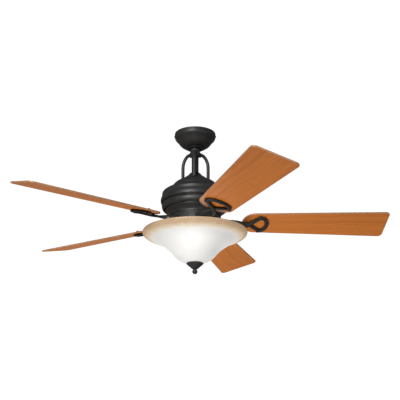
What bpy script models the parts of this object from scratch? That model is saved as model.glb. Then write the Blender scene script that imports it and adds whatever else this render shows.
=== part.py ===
"""Five-blade ceiling fan with a glass bowl light, in metres, +Z up.

The origin is the centre of the face that meets the ceiling, and the fan hangs below it. Each named object
is one real piece. Heights are measured from the ceiling, so they are negative."""

import math

import bmesh
import bpy
from mathutils import Matrix, Vector

MM = 0.001

# Driving dimensions
SWEEP_RADIUS = 686 * MM        # a 54 inch fan
BLADE_PLANE = -340 * MM        # height of the blades' pitch axes
BLADE_COUNT = 5
BLADE_PITCH = math.radians(15)
FIRST_BLADE = math.radians(1.7)
CANOPY_RADIUS = 75.3 * MM
ROD_RADIUS = 12.7 * MM
GAP = 0.35 * MM                # clearance between pieces that touch

# Ball hanger
BALL_CENTRE = -31 * MM
BALL_RADIUS = 24 * MM
LINER_THICKNESS = 1.8 * MM
SEAT_THICKNESS = 2.4 * MM

# Round pieces' side counts
LARGE = 28
MEDIUM = 18
SMALL = 12
TINY = 8

# Colours (red, green, blue), roughness, metallic
FINISHES = {
    "black_metal": ((0.030, 0.029, 0.028), 0.50, 0.6),
    "blade_wood": ((0.42, 0.16, 0.045), 0.40, 0.0),
    "etched_glass": ((0.90, 0.84, 0.72), 0.45, 0.0),
    "bulb_glass": ((0.95, 0.93, 0.88), 0.30, 0.0),
    "zinc_steel": ((0.55, 0.56, 0.57), 0.35, 1.0),
    "lamination": ((0.22, 0.22, 0.23), 0.55, 0.9),
    "copper": ((0.60, 0.27, 0.12), 0.35, 0.9),
    "nylon": ((0.75, 0.73, 0.68), 0.50, 0.0),
    "black_plastic": ((0.035, 0.035, 0.037), 0.45, 0.0),
    "porcelain": ((0.85, 0.83, 0.78), 0.25, 0.0),
    "rubber": ((0.04, 0.04, 0.04), 0.80, 0.0),
}


# ---------------------------------------------------------------- helpers

def clear_scene():
    for obj in list(bpy.data.objects):
        bpy.data.objects.remove(obj, do_unlink=True)


def material(name):
    found = bpy.data.materials.get(name)
    if found:
        return found
    colour, roughness, metallic = FINISHES[name]
    made = bpy.data.materials.new(name)
    made.use_nodes = True
    shader = made.node_tree.nodes["Principled BSDF"]
    shader.inputs["Base Color"].default_value = (*colour, 1)
    shader.inputs["Roughness"].default_value = roughness
    shader.inputs["Metallic"].default_value = metallic
    return made


def add_object(name, mesh, finish, parent=None):
    """An object for a mesh that stands in its parent's frame."""
    mesh.materials.clear()
    mesh.materials.append(material(finish))
    obj = bpy.data.objects.new(name, mesh)
    bpy.context.scene.collection.objects.link(obj)
    obj.parent = parent
    return obj


def add_empty(name, location, parent=None):
    empty = bpy.data.objects.new(name, None)
    bpy.context.scene.collection.objects.link(empty)
    empty.parent = parent
    empty.location = location
    return empty


def mesh_from(bm, name, smooth=True):
    bmesh.ops.recalc_face_normals(bm, faces=bm.faces)
    mesh = bpy.data.meshes.new(name)
    bm.to_mesh(mesh)
    bm.free()
    if smooth:
        mesh.shade_smooth()
        mesh.set_sharp_from_angle(angle=math.radians(35))
    return mesh


def mm(points):
    """Points given in millimetres, in metres."""
    return [tuple(value * MM for value in point) for point in points]


def turned_mesh(name, outline, sides, start=0.0, sweep=2 * math.pi):
    """A closed (radius, height) outline turned about Z. A point on the axis needs a full turn."""
    bm = bmesh.new()
    full = sweep > 2 * math.pi - 1e-6
    stations = sides if full else sides + 1
    rings = []
    for radius, height in outline:
        if radius < 1e-9:
            rings.append([bm.verts.new((0, 0, height))] * stations)
            continue
        angles = [start + sweep * k / sides for k in range(stations)]
        rings.append([bm.verts.new((radius * math.cos(a), radius * math.sin(a), height)) for a in angles])
    open_axis = outline[0][0] < 1e-9 and outline[-1][0] < 1e-9
    pairs = list(zip(rings, rings[1:])) if open_axis else list(zip(rings, rings[1:] + rings[:1]))
    for lower, upper in pairs:
        for k in range(sides):
            after = (k + 1) % stations
            corners = [lower[k], lower[after], upper[after], upper[k]]
            unique = [v for n, v in enumerate(corners) if v not in corners[:n]]
            if len(unique) > 2:
                bm.faces.new(unique)
    if not full:
        bm.faces.new([ring[0] for ring in rings])
        bm.faces.new([ring[-1] for ring in reversed(rings)])
    return mesh_from(bm, name)


def turned(name, outline, sides, finish, parent=None, **turn):
    return add_object(name, turned_mesh(name, outline, sides, **turn), finish, parent)


def shell_outline(outer, thickness):
    """The closed outline of a wall: the outer profile, then the same profile moved inwards by its thickness.

    The outer profile runs from its top down, with the outside to its right hand."""
    inner = []
    for k, point in enumerate(outer):
        before = Vector(outer[max(k - 1, 0)])
        after = Vector(outer[min(k + 1, len(outer) - 1)])
        along = (after - before).normalized()
        inward = Vector((along.y, -along.x))
        inner.append(tuple(Vector(point) + inward * thickness))
    return list(outer) + inner[::-1]


def disc_outline(radius, low, high, bore=0.0):
    """A plain cylinder's outline, hollow if it has a bore."""
    if bore > 0:
        return [(radius, high), (radius, low), (bore, low), (bore, high)]
    return [(0, high), (radius, high), (radius, low), (0, low)]


def box_mesh(name, low, high):
    bm = bmesh.new()
    bmesh.ops.create_cube(bm, size=1)
    size = Vector(high) - Vector(low)
    middle = (Vector(high) + Vector(low)) / 2
    bmesh.ops.transform(bm, matrix=Matrix.Translation(middle) @ Matrix.Diagonal((*size, 1)), verts=bm.verts)
    return mesh_from(bm, name, smooth=False)


def hidden(name, mesh, parent=None):
    """A cutter or a piece to be joined: it isn't part of the object by itself."""
    obj = bpy.data.objects.new(name, mesh)
    bpy.context.scene.collection.objects.link(obj)
    obj.parent = parent
    obj.hide_render = True
    obj.display_type = "WIRE"
    return obj


def boolean(obj, other, operation):
    modifier = obj.modifiers.new(other.name, "BOOLEAN")
    modifier.object = other
    modifier.operation = operation
    modifier.solver = "EXACT"


def cylinder_cutter(name, radius, start, end, sides=TINY, parent=None):
    """A hidden cylinder between two points."""
    start, end = Vector(start), Vector(end)
    along = end - start
    mesh = turned_mesh(name, disc_outline(radius, 0, along.length), sides)
    mesh.transform(Matrix.Translation(start) @ along.to_track_quat("Z", "Y").to_matrix().to_4x4())
    return hidden(name, mesh, parent)


def swept_mesh(name, path, ups, section, first_shares=()):
    """A bar whose section, a list of (across, up) points, follows a path with an up vector at each point.
    Its first sections can be smaller, so that this end lies inside another bar."""
    bm = bmesh.new()
    rings = []
    for k, (point, up) in enumerate(zip(path, ups)):
        along = (Vector(path[min(k + 1, len(path) - 1)]) - Vector(path[max(k - 1, 0)])).normalized()
        across = along.cross(Vector(up)).normalized()
        upright = across.cross(along)
        share = first_shares[k] if k < len(first_shares) else 1
        rings.append([bm.verts.new(Vector(point) + (across * a + upright * u) * share) for a, u in section])
    count = len(section)
    for first, second in zip(rings, rings[1:]):
        for k in range(count):
            bm.faces.new([first[k], first[(k + 1) % count], second[(k + 1) % count], second[k]])
    bm.faces.new(rings[0])
    bm.faces.new(rings[-1][::-1])
    return mesh_from(bm, name)


def round_section(radius, sides):
    return [(radius * math.cos(2 * math.pi * k / sides), radius * math.sin(2 * math.pi * k / sides))
            for k in range(sides)]


def bar_section(width, thickness, chamfer):
    """A flat bar's section, pointed at both sides."""
    w, t = width / 2, thickness / 2
    return [(w, 0), (w - chamfer, t), (-w + chamfer, t), (-w, 0), (-w + chamfer, -t), (w - chamfer, -t)]


# ---------------------------------------------------------------- ceiling bracket and canopy

BRACKET_HALF_LENGTH = 69.6 * MM
BRACKET_HALF_WIDTH = 15 * MM
SHEET = 2 * MM                  # the bracket's steel
TAB_HALF_WIDTH = 11 * MM
TAB_DEPTH = 18 * MM
CANOPY_SCREW_HEIGHT = -9 * MM
CANOPY_WALL = 1.2 * MM
CANOPY_DEPTH = 60 * MM
BOX_SCREW_SPACING = 89 * MM     # outlet box screws
SLOT_LENGTH = 22 * MM
SLOT_WIDTH = 5.4 * MM


def seat_outline():
    """The bracket's spherical seat, a band below the ball's middle."""
    inner = BALL_RADIUS + LINER_THICKNESS + 2 * GAP
    outer = inner + SEAT_THICKNESS
    low, high = 19 * MM, 2 * MM
    steps = 4
    drops = [high + (low - high) * k / steps for k in range(steps + 1)]
    outside = [(math.sqrt(outer ** 2 - d ** 2), BALL_CENTRE - d) for d in drops]
    inside = [(math.sqrt(inner ** 2 - d ** 2), BALL_CENTRE - d) for d in reversed(drops)]
    return outside + inside


def rod_slot(name, half_width):
    """The cutter for the side slot through which the rod enters the seat."""
    slot = box_mesh(name, (-half_width, 0, -70 * MM), (half_width, 45 * MM, BALL_CENTRE + 4 * MM))
    return hidden(name, slot)


def build_bracket():
    plate = box_mesh("bracket_plate", (-BRACKET_HALF_LENGTH, -BRACKET_HALF_WIDTH, -SHEET),
                     (BRACKET_HALF_LENGTH, BRACKET_HALF_WIDTH, 0))
    bracket = add_object("hanger_bracket", plate, "zinc_steel")
    boolean(bracket, hidden("bracket_seat", turned_mesh("bracket_seat", seat_outline(), MEDIUM)), "UNION")
    leg_inner = BALL_RADIUS + LINER_THICKNESS + 3 * GAP
    for side in (-1, 1):
        near, far = sorted((side * leg_inner, side * (leg_inner + SHEET)))
        low = (near, -12 * MM, BALL_CENTRE - 6 * MM)
        leg = box_mesh(f"bracket_leg{side}", low, (far, 12 * MM, -SHEET / 2))
        boolean(bracket, hidden(f"bracket_leg{side}", leg), "UNION")
        near, far = sorted((side * (BRACKET_HALF_LENGTH - SHEET), side * BRACKET_HALF_LENGTH))
        low = (near, -TAB_HALF_WIDTH, -TAB_DEPTH)
        tab = box_mesh(f"bracket_tab{side}", low, (far, TAB_HALF_WIDTH, -SHEET / 2))
        boolean(bracket, hidden(f"bracket_tab{side}", tab), "UNION")
        middle = side * BOX_SCREW_SPACING / 2
        slot = box_mesh(f"screw_slot{side}", (middle - SLOT_LENGTH / 2, -SLOT_WIDTH / 2, -9 * MM),
                        (middle + SLOT_LENGTH / 2, SLOT_WIDTH / 2, 9 * MM))
        boolean(bracket, hidden(f"screw_slot{side}", slot), "DIFFERENCE")
    boolean(bracket, rod_slot("bracket_rod_slot", 14.5 * MM), "DIFFERENCE")
    holes = cylinder_cutter("tab_holes", 2.5 * MM, (-80 * MM, 0, CANOPY_SCREW_HEIGHT),
                            (80 * MM, 0, CANOPY_SCREW_HEIGHT))
    boolean(bracket, holes, "DIFFERENCE")


def screw_mesh(name, head_radius, head_height, shank_radius, length):
    """A pan head screw along Z: the head's underside is at 0, and the shank runs up to its length."""
    outline = [(0, length), (shank_radius * 0.6, length), (shank_radius, length - 1.5 * MM),
               (shank_radius, 0), (head_radius, 0), (head_radius, -head_height * 0.5),
               (head_radius * 0.6, -head_height), (0, -head_height)]
    return turned_mesh(name, outline, TINY)


def build_bracket_screws():
    for label, side in (("left", -1), ("right", 1)):
        mesh = screw_mesh("box_screw", 5 * MM, 3.2 * MM, 2.1 * MM, 12 * MM)
        screw = add_object(f"bracket_screw_{label}", mesh, "zinc_steel")
        screw.location = (side * BOX_SCREW_SPACING / 2, 0, -SHEET - GAP)


CANOPY_PROFILE = mm([
    (75, 0), (75.3, -12), (74.4, -16.5), (72.6, -20), (70.8, -22.6), (69.4, -24.2), (67.6, -25.2),
    (65.4, -28.6), (62, -33), (57.8, -39), (52.4, -45), (44.4, -50.9), (39, -54), (32, -56.2), (23.5, -57.4)])


def build_canopy():
    canopy = turned("canopy", shell_outline(CANOPY_PROFILE, CANOPY_WALL), LARGE, "black_metal")
    holes = cylinder_cutter("canopy_holes", 2.5 * MM, (-80 * MM, 0, CANOPY_SCREW_HEIGHT),
                            (80 * MM, 0, CANOPY_SCREW_HEIGHT))
    boolean(canopy, holes, "DIFFERENCE")
    ring = mm([(31, -57), (31, -58.8), (29, -60.2), (22.4, -61), (21.4, -60), (21.4, -58.6)])
    turned("canopy_ring", ring, MEDIUM, "black_metal")
    for label, side in (("left", -1), ("right", 1)):
        mesh = screw_mesh("canopy_screw", 4 * MM, 1.4 * MM, 2 * MM, 11 * MM)
        screw = add_object(f"canopy_screw_{label}", mesh, "black_metal")
        screw.rotation_euler = (0, -side * math.pi / 2, 0)
        screw.location = (side * (CANOPY_RADIUS + GAP), 0, CANOPY_SCREW_HEIGHT)


def build_receiver():
    """The wall control's receiver, in the canopy beside the bracket."""
    case = box_mesh("receiver_box", (-27 * MM, 31 * MM, -26 * MM), (27 * MM, 54 * MM, -2.5 * MM))
    add_object("receiver_box", case, "black_plastic")


# ---------------------------------------------------------------- ball, rod, collar and arms

ROD_WALL = 2.4 * MM
ROD_TOP = BALL_CENTRE + 19 * MM
ROD_BOTTOM = BLADE_PLANE + 112 * MM
BALL_PIN_HEIGHT = BALL_CENTRE + 12 * MM
YOKE_PIN_HEIGHT = BLADE_PLANE + 124 * MM
PIN_RADIUS = 3 * MM
ARM_COUNT = 3
FIRST_ARM = math.radians(-93.5)
ARM_RADIUS = 6 * MM
ARM_CIRCLE = 53.5 * MM          # the arms' feet stand on this circle
ARM_TOP = BLADE_PLANE + 262.5 * MM
ARM_DROP = 48 * MM
ARM_FOOT = BLADE_PLANE + 155.2 * MM


def build_liner():
    inner = BALL_RADIUS + GAP
    outer = inner + LINER_THICKNESS
    drops = [(18 - 4.5 * k) * MM for k in range(5)]
    outside = [(math.sqrt(outer ** 2 - d ** 2), BALL_CENTRE - d) for d in reversed(drops)]
    inside = [(math.sqrt(inner ** 2 - d ** 2), BALL_CENTRE - d) for d in drops]
    slot = math.radians(50)     # between two of the seat's corners, so the facets stay in line
    turned("socket_liner", outside + inside, MEDIUM - 5, "nylon", start=math.pi / 2 + slot,
           sweep=2 * math.pi - 2 * slot)


def build_ball():
    bore = ROD_RADIUS + GAP
    widest = math.acos(bore / BALL_RADIUS)
    steps = 10
    outline = []
    for k in range(steps + 1):
        angle = widest - 2 * widest * k / steps
        outline.append((BALL_RADIUS * math.cos(angle), BALL_CENTRE + BALL_RADIUS * math.sin(angle)))
    ball = turned("hanger_ball", outline, MEDIUM, "nylon")
    half_slot = PIN_RADIUS + GAP
    slot = box_mesh("ball_slot", (-30 * MM, -half_slot, BALL_PIN_HEIGHT - half_slot), (30 * MM, half_slot, 0))
    boolean(ball, hidden("ball_slot", slot), "DIFFERENCE")


def build_pin(name, height, half_length):
    mesh = turned_mesh(name, disc_outline(PIN_RADIUS, -half_length, half_length), TINY)
    pin = add_object(name, mesh, "zinc_steel")
    pin.rotation_euler = (0, math.pi / 2, 0)
    pin.location = (0, 0, height)


def build_rod():
    outline = disc_outline(ROD_RADIUS, ROD_BOTTOM, ROD_TOP, ROD_RADIUS - ROD_WALL)
    rod = turned("downrod", outline, MEDIUM, "black_metal")
    for name, height in (("ball_pin_hole", BALL_PIN_HEIGHT), ("yoke_pin_hole", YOKE_PIN_HEIGHT)):
        hole = cylinder_cutter(name, PIN_RADIUS + GAP, (-30 * MM, 0, height), (30 * MM, 0, height))
        boolean(rod, hole, "DIFFERENCE")


def build_collar():
    bore = ROD_RADIUS + GAP
    outer = mm([(17.2, -57.5), (18.3, -58.8), (18.3, -69), (17.7, -70), (18.5, -71.4), (18.5, -80),
                (17.4, -84.5), (14.6, -90), (14, -93)])
    turned("rod_collar", outer + [(bore, -93 * MM), (bore, -57.5 * MM)], MEDIUM, "black_metal")


def build_arms():
    """Three bent bars, which spring from the collar and stand on the dome."""
    start = 18.5 * MM + GAP
    bend = start + 3 * MM
    reach = ARM_CIRCLE - bend
    steps = 7
    path = [(start, 0, ARM_TOP)]
    for k in range(steps + 1):
        turn = math.pi / 2 * k / steps
        path.append((bend + reach * math.sin(turn), 0, ARM_TOP - ARM_DROP * (1 - math.cos(turn))))
    path.append((ARM_CIRCLE, 0, ARM_FOOT))
    for k in range(ARM_COUNT):
        mesh = swept_mesh("scroll_arm", path, [(0, 1, 0)] * len(path), round_section(ARM_RADIUS, 8))
        arm = add_object(f"scroll_arm_{k + 1}", mesh, "black_metal")
        arm.rotation_euler = (0, 0, FIRST_ARM + 2 * math.pi * k / ARM_COUNT)


# ---------------------------------------------------------------- motor housing

def above_blades(points):
    """Millimetre points whose heights are counted from the blade plane."""
    return [(radius * MM, BLADE_PLANE + height * MM) for radius, height in points]


COVER_PROFILE = above_blades([
    (14.8, 188), (19.6, 184.2), (22.4, 181), (24.8, 178), (31.2, 172), (37, 168.2), (42.4, 163.8),
    (46, 159.2), (46.8, 156.2)])
DOME_PROFILE = above_blades([
    (50, 154.8), (58, 154.2), (65.4, 150.2), (74, 144), (80.6, 136.4), (84.8, 130.8), (86, 127.4),
    (84.4, 126), (104, 118), (112, 112.9), (117, 109.2), (118.8, 105), (118.8, 98), (119.6, 93.6),
    (122.8, 86), (123.7, 80), (123.2, 73.6), (121, 69.2)])
BAND_PROFILE = above_blades([
    (117.2, 73), (117.4, 67.6), (119.6, 63.6), (119.4, 57.5), (117.8, 50), (114.4, 44.6), (111.8, 42.8)])
SKIRT_PROFILE = above_blades([
    (107.4, 46.5), (107.6, 41.2), (106.8, 39.2), (104.2, 37.2), (100.2, 33.8), (96.6, 29.6), (94, 25.6),
    (92.8, 22), (92.6, 19)])
HOUSING_WALL = 1.6 * MM


def build_housing():
    turned("coupling_cover", shell_outline(COVER_PROFILE, 1.4 * MM), MEDIUM, "black_metal")
    inner_lip = above_blades([(24, 154.8)])
    dome = shell_outline(inner_lip + DOME_PROFILE, HOUSING_WALL)
    turned("housing_dome", dome, LARGE, "black_metal")
    turned("housing_band", shell_outline(BAND_PROFILE, HOUSING_WALL), LARGE, "black_metal")
    turned("housing_skirt", shell_outline(SKIRT_PROFILE, HOUSING_WALL), LARGE, "black_metal")


# ---------------------------------------------------------------- motor

SHAFT_RADIUS = 8.5 * MM
SHAFT_BORE = 5.5 * MM
SHAFT_BOTTOM = BLADE_PLANE - 17 * MM


def build_yoke():
    """The cup on the shaft, which takes the rod, and carries the dome on its flange."""
    outline = above_blades([
        (20, 152.4), (30, 152.4), (30, 149.4), (20, 149.4), (20, 96), (34, 94), (34, 90), (12, 90), (9.2, 90),
        (9.2, 110), (13.1, 110), (13.1, 152.4)])
    yoke = turned("motor_yoke", outline, MEDIUM, "zinc_steel")
    hole = cylinder_cutter("yoke_hole", PIN_RADIUS + GAP, (-40 * MM, 0, YOKE_PIN_HEIGHT),
                           (40 * MM, 0, YOKE_PIN_HEIGHT))
    boolean(yoke, hole, "DIFFERENCE")
    build_pin("yoke_pin", YOKE_PIN_HEIGHT, 22 * MM)


def build_stator():
    shaft = disc_outline(SHAFT_RADIUS, SHAFT_BOTTOM, BLADE_PLANE + 109 * MM, SHAFT_BORE)
    turned("motor_shaft", shaft, MEDIUM, "zinc_steel")
    teeth, core_low, core_high = 18, BLADE_PLANE + 22 * MM, BLADE_PLANE + 46 * MM
    tooth = ((-0.86, 50), (-0.5, 50), (-0.5, 66), (-0.8, 70), (0.8, 70), (0.5, 66), (0.5, 50))
    outline = []
    for k in range(teeth):
        middle = 2 * math.pi * k / teeth
        half = math.pi / teeth
        for share, radius in tooth:
            angle = middle + share * half
            outline.append((radius * MM * math.cos(angle), radius * MM * math.sin(angle)))
    bore = SHAFT_RADIUS + GAP
    inner = [(bore * math.cos(2 * math.pi * k / MEDIUM), bore * math.sin(2 * math.pi * k / MEDIUM))
             for k in range(MEDIUM)]
    add_object("stator_core", plate_mesh("stator_core", outline, [inner], core_low, core_high), "lamination")
    for label, low, high in (("lower", 12, 21.6), ("upper", 46.4, 56)):
        ring = above_blades([(47, low + 2), (51, low), (62, low), (65, low + 2), (65, high - 1), (62, high),
                             (51, high), (47, high - 1)])
        turned(f"winding_{label}", ring, MEDIUM, "copper")


def plate_mesh(name, outline, holes, low, high):
    """A flat outline with holes, extruded between two heights."""
    bm = bmesh.new()
    edges = []
    for loop in [outline, *holes]:
        verts = [bm.verts.new((x, y, low)) for x, y in loop]
        edges += [bm.edges.new((a, b)) for a, b in zip(verts, verts[1:] + verts[:1])]
    bmesh.ops.triangle_fill(bm, edges=edges, use_beauty=True, use_dissolve=False)
    extruded = bmesh.ops.extrude_face_region(bm, geom=list(bm.faces), use_keep_orig=True)
    top = [item for item in extruded["geom"] if isinstance(item, bmesh.types.BMVert)]
    bmesh.ops.translate(bm, verts=top, vec=(0, 0, high - low))
    return mesh_from(bm, name)


def build_rotor(parent):
    """The motor's turning case, in two halves, with its ring and bearings."""
    lower = above_blades([(91, -3.4), (19.4, -3.4), (19.4, 8.6), (21.6, 8.6), (21.6, 1), (86, 1), (86, 31.6),
                          (90, 31.6), (90, 3.6), (91, 2)])
    turned("rotor_case_lower", lower, LARGE, "black_metal", parent)
    upper = above_blades([(90, 32), (86, 32), (86, 61), (21.6, 61), (21.6, 57), (19.4, 57), (19.4, 68),
                          (30, 68), (34, 64.5), (86, 64.5), (90, 61)])
    turned("rotor_case_upper", upper, LARGE, "black_metal", parent)
    ring = above_blades([(85.4, 48), (85.4, 20), (72, 20), (72, 48)])
    turned("rotor_ring", ring, LARGE, "lamination", parent)
    for label, low in (("lower", 1), ("upper", 57.4)):
        race = above_blades([(19, low), (19, low + 8), (9, low + 8), (9, low)])
        turned(f"{label}_bearing", race, MEDIUM, "zinc_steel", parent)


# ---------------------------------------------------------------- blades and irons

BLADE_ROOT = 168 * MM
ROOT_HALF_WIDTH = 60.5 * MM
TIP_HALF_WIDTH = 78.7 * MM
ROOT_CORNER = 46 * MM
TIP_CORNER = 17 * MM
BLADE_THICKNESS = 5.6 * MM
SCREW_HOLE = 2.4 * MM
LOOP_START = 190 * MM           # where the iron's bars cross
LOOP_END = 256 * MM             # the loop's far end, on the bar's middle line
LOOP_HALF_WIDTH = 42 * MM
BAR_WIDTH = 14.5 * MM
BAR_THICKNESS = 8 * MM
BLADE_SCREWS = [(LOOP_END, 0.0), (228 * MM, 41.5 * MM), (228 * MM, -41.5 * MM)]
FLANGE_HALF_ANGLE = math.radians(34.9)


def corner(centre_x, centre_y, radius_x, radius_y, first, last, steps):
    """Points of an elliptic corner between two angles in degrees."""
    points = []
    for k in range(steps + 1):
        angle = math.radians(first + (last - first) * k / steps)
        points.append((centre_x + radius_x * math.cos(angle), centre_y + radius_y * math.sin(angle)))
    return points


def blade_outline():
    """The blade in its own plane, from the root's middle round to it again."""
    tip_x = SWEEP_RADIUS - TIP_CORNER
    tip_y = TIP_HALF_WIDTH - TIP_CORNER
    root_x = BLADE_ROOT + ROOT_CORNER
    root_y = ROOT_HALF_WIDTH - 1.25 * ROOT_CORNER
    half = corner(tip_x, tip_y, TIP_CORNER, TIP_CORNER, 0, 88, 3)
    half += corner(root_x, root_y, ROOT_CORNER, 1.25 * ROOT_CORNER, 92, 180, 6)
    return half + [(x, -y) for x, y in reversed(half)]


def hole_points(x, y, radius, sides=6):
    return [(x + radius * math.cos(2 * math.pi * k / sides), y + radius * math.sin(2 * math.pi * k / sides))
            for k in range(sides)]


def build_blades(parent):
    holes = [hole_points(x, y, SCREW_HOLE) for x, y in BLADE_SCREWS]
    mesh = plate_mesh("blade", blade_outline(), holes, -BLADE_THICKNESS / 2, BLADE_THICKNESS / 2)
    for k in range(BLADE_COUNT):
        blade = add_object(f"blade_{k + 1}", mesh, "blade_wood", parent)
        azimuth = FIRST_BLADE + 2 * math.pi * k / BLADE_COUNT
        blade.matrix_local = Matrix.Rotation(azimuth, 4, "Z") @ Matrix.Rotation(-BLADE_PITCH, 4, "X")


def iron_path():
    """The bar's middle line: out from the flange, round the loop and back over itself. It bends from level
    at the flange into the blade's pitched plane, and one pass dips below the other where they cross."""
    seat = -(BLADE_THICKNESS + BAR_THICKNESS) / 2 - GAP - 0.1 * MM
    flange_z = -1 * MM
    pass_drop = 4 * MM          # how far the lower pass dips under the upper one
    middle = LOOP_START + 40 * MM
    crossing = (LOOP_START, 0)
    plan = [(90.5 * MM, 24 * MM, 0), (135 * MM, 20 * MM, 0.3), (165 * MM, 11 * MM, 0.7), (*crossing, 1),
            (207 * MM, -17 * MM, 0.5), (222 * MM, -33 * MM, 0.1)]
    for degrees in (-80, -48, -16, 16, 48, 80):
        angle = math.radians(degrees)
        plan.append((middle + (LOOP_END - middle) * math.cos(angle), LOOP_HALF_WIDTH * math.sin(angle), 0))
    plan += [(222 * MM, 33 * MM, 0), (207 * MM, 17 * MM, 0), (*crossing, 0), (165 * MM, -11 * MM, 0),
             (135 * MM, -20 * MM, 0), (90.5 * MM, -24 * MM, 0)]
    rise, fall = 100 * MM, 172 * MM
    points, ups = [], []
    for x, y, dip in plan:
        share = min(max((x - rise) / (fall - rise), 0), 1)
        share = share * share * (3 - 2 * share)
        pitch = -BLADE_PITCH * share
        level = flange_z * (1 - share) + seat * share - pass_drop * dip
        normal = Vector((0, -math.sin(pitch), math.cos(pitch)))
        points.append(Vector((x, y * math.cos(pitch), y * math.sin(pitch))) + normal * level)
        ups.append(normal)
    return points, ups


def sector_outline():
    """The flange's section: a plate under the rotor case, with a skirt round its edge."""
    return above_blades([(94.5, 14), (94.5, -10), (66, -10), (66, -4), (91.9, -4), (91.9, 14)])


def build_irons(parent):
    path, ups = iron_path()
    section = bar_section(BAR_WIDTH, BAR_THICKNESS, 2.5 * MM)
    middle = len(path) // 2
    out = swept_mesh("iron_out", path[:middle + 1], ups[:middle + 1], section)
    back = swept_mesh("iron_back", path[middle - 1:], ups[middle - 1:], section, [0.9, 0.97])
    flange = turned_mesh("iron_flange", sector_outline(), 8, start=-FLANGE_HALF_ANGLE,
                         sweep=2 * FLANGE_HALF_ANGLE)
    flange.transform(Matrix.Translation((0, 0, -BLADE_PLANE)))
    draft = hidden("iron_draft", flange)
    boolean(draft, hidden("iron_out", out), "UNION")
    boolean(draft, hidden("iron_back", back), "UNION")
    for label, side in (("a", -1), ("b", 1)):
        hole = cylinder_cutter(f"flange_hole_{label}", 2.6 * MM, (80 * MM, side * 20 * MM, -30 * MM),
                               (80 * MM, side * 20 * MM, 10 * MM), sides=8)
        boolean(draft, hole, "DIFFERENCE")
    graph = bpy.context.evaluated_depsgraph_get()
    mesh = bpy.data.meshes.new_from_object(draft.evaluated_get(graph))
    for k in range(BLADE_COUNT):
        iron = add_object(f"blade_iron_{k + 1}", mesh, "black_metal", parent)
        iron.rotation_euler = (0, 0, FIRST_BLADE + 2 * math.pi * k / BLADE_COUNT)


# ---------------------------------------------------------------- light kit

SOCKET_HEIGHT = BLADE_PLANE - 58 * MM
BULB_COUNT = 3
FIRST_BULB = math.radians(-90)
ROD_THREAD_RADIUS = 4.8 * MM


def build_switch_housing():
    outline = above_blades([
        (8.85, -12), (46, -12), (50, -15), (50, -33.6), (48.6, -33.6), (48.6, -15.8), (45.2, -13.4),
        (8.85, -13.4)])
    housing = turned("switch_housing", outline, MEDIUM, "black_metal")
    window = box_mesh("switch_window", (42 * MM, -8 * MM, BLADE_PLANE - 27 * MM),
                      (60 * MM, 8 * MM, BLADE_PLANE - 19 * MM))
    boolean(housing, hidden("switch_window", window), "DIFFERENCE")
    add_object("capacitor", box_mesh("capacitor", (-40 * MM, -16 * MM, BLADE_PLANE - 31 * MM),
                                     (-18 * MM, 16 * MM, BLADE_PLANE - 15 * MM)), "black_plastic")
    base = box_mesh("reverse_switch_base", (30 * MM, -11 * MM, BLADE_PLANE - 30 * MM),
                    (43.5 * MM, 11 * MM, BLADE_PLANE - 16 * MM))
    add_object("reverse_switch_base", base, "black_plastic")
    add_object("reverse_slider", box_mesh("reverse_slider", (44 * MM, -6.5 * MM, BLADE_PLANE - 25.6 * MM),
                                          (53.5 * MM, -1.5 * MM, BLADE_PLANE - 20.4 * MM)), "black_plastic")


def build_light_fitter():
    plate = turned_mesh("light_fitter", above_blades([(56, -34), (56, -36), (5.2, -36), (5.2, -34)]), MEDIUM)
    fitter = add_object("light_fitter", plate, "black_metal")
    for k in range(BULB_COUNT):
        azimuth = FIRST_BULB + 2 * math.pi * k / BULB_COUNT
        tab = box_mesh(f"socket_tab{k}", (23 * MM, -12 * MM, SOCKET_HEIGHT - 14 * MM),
                       (25 * MM, 12 * MM, BLADE_PLANE - 35 * MM))
        tab.transform(Matrix.Rotation(azimuth, 4, "Z"))
        boolean(fitter, hidden(f"socket_tab{k}", tab), "UNION")


def build_lamps():
    """Three sockets with their bulbs, each pointing outwards."""
    sides = SMALL
    socket = mm([(0, 25.4), (17, 25.4), (18, 27), (18, 50), (15.5, 51), (15.5, 31), (0, 31)])
    bulb = [(0, 33), (10, 33.5), (13, 36), (13, 56), (15, 62), (20, 74), (23.4, 86), (24, 98)]
    bulb = mm(bulb) + [(24 * MM * math.cos(math.radians(a)), (98 + 24 * math.sin(math.radians(a))) * MM)
                       for a in (22, 44, 66)] + [(0, 122 * MM)]
    for k in range(BULB_COUNT):
        azimuth = FIRST_BULB + 2 * math.pi * k / BULB_COUNT
        place = Matrix.Translation((0, 0, SOCKET_HEIGHT)) @ Matrix.Rotation(azimuth, 4, "Z") \
            @ Matrix.Rotation(math.pi / 2, 4, "Y")
        for name, outline, finish in (("lamp_socket", socket, "porcelain"), ("bulb", bulb, "bulb_glass")):
            turned(f"{name}_{k + 1}", outline, sides, finish).matrix_local = place


BOWL_PROFILE = above_blades([
    (185.2, -35.6), (186.8, -38.4), (185.4, -45.6), (175.4, -52.8), (157.6, -58.8), (143, -65), (129, -74),
    (114.6, -84), (101, -94), (89, -105), (78.4, -117), (69, -127.5), (57.9, -137), (44.6, -145),
    (33, -149.5), (20, -151.4), (6, -152)])
BOWL_WALL = 4 * MM


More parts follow.
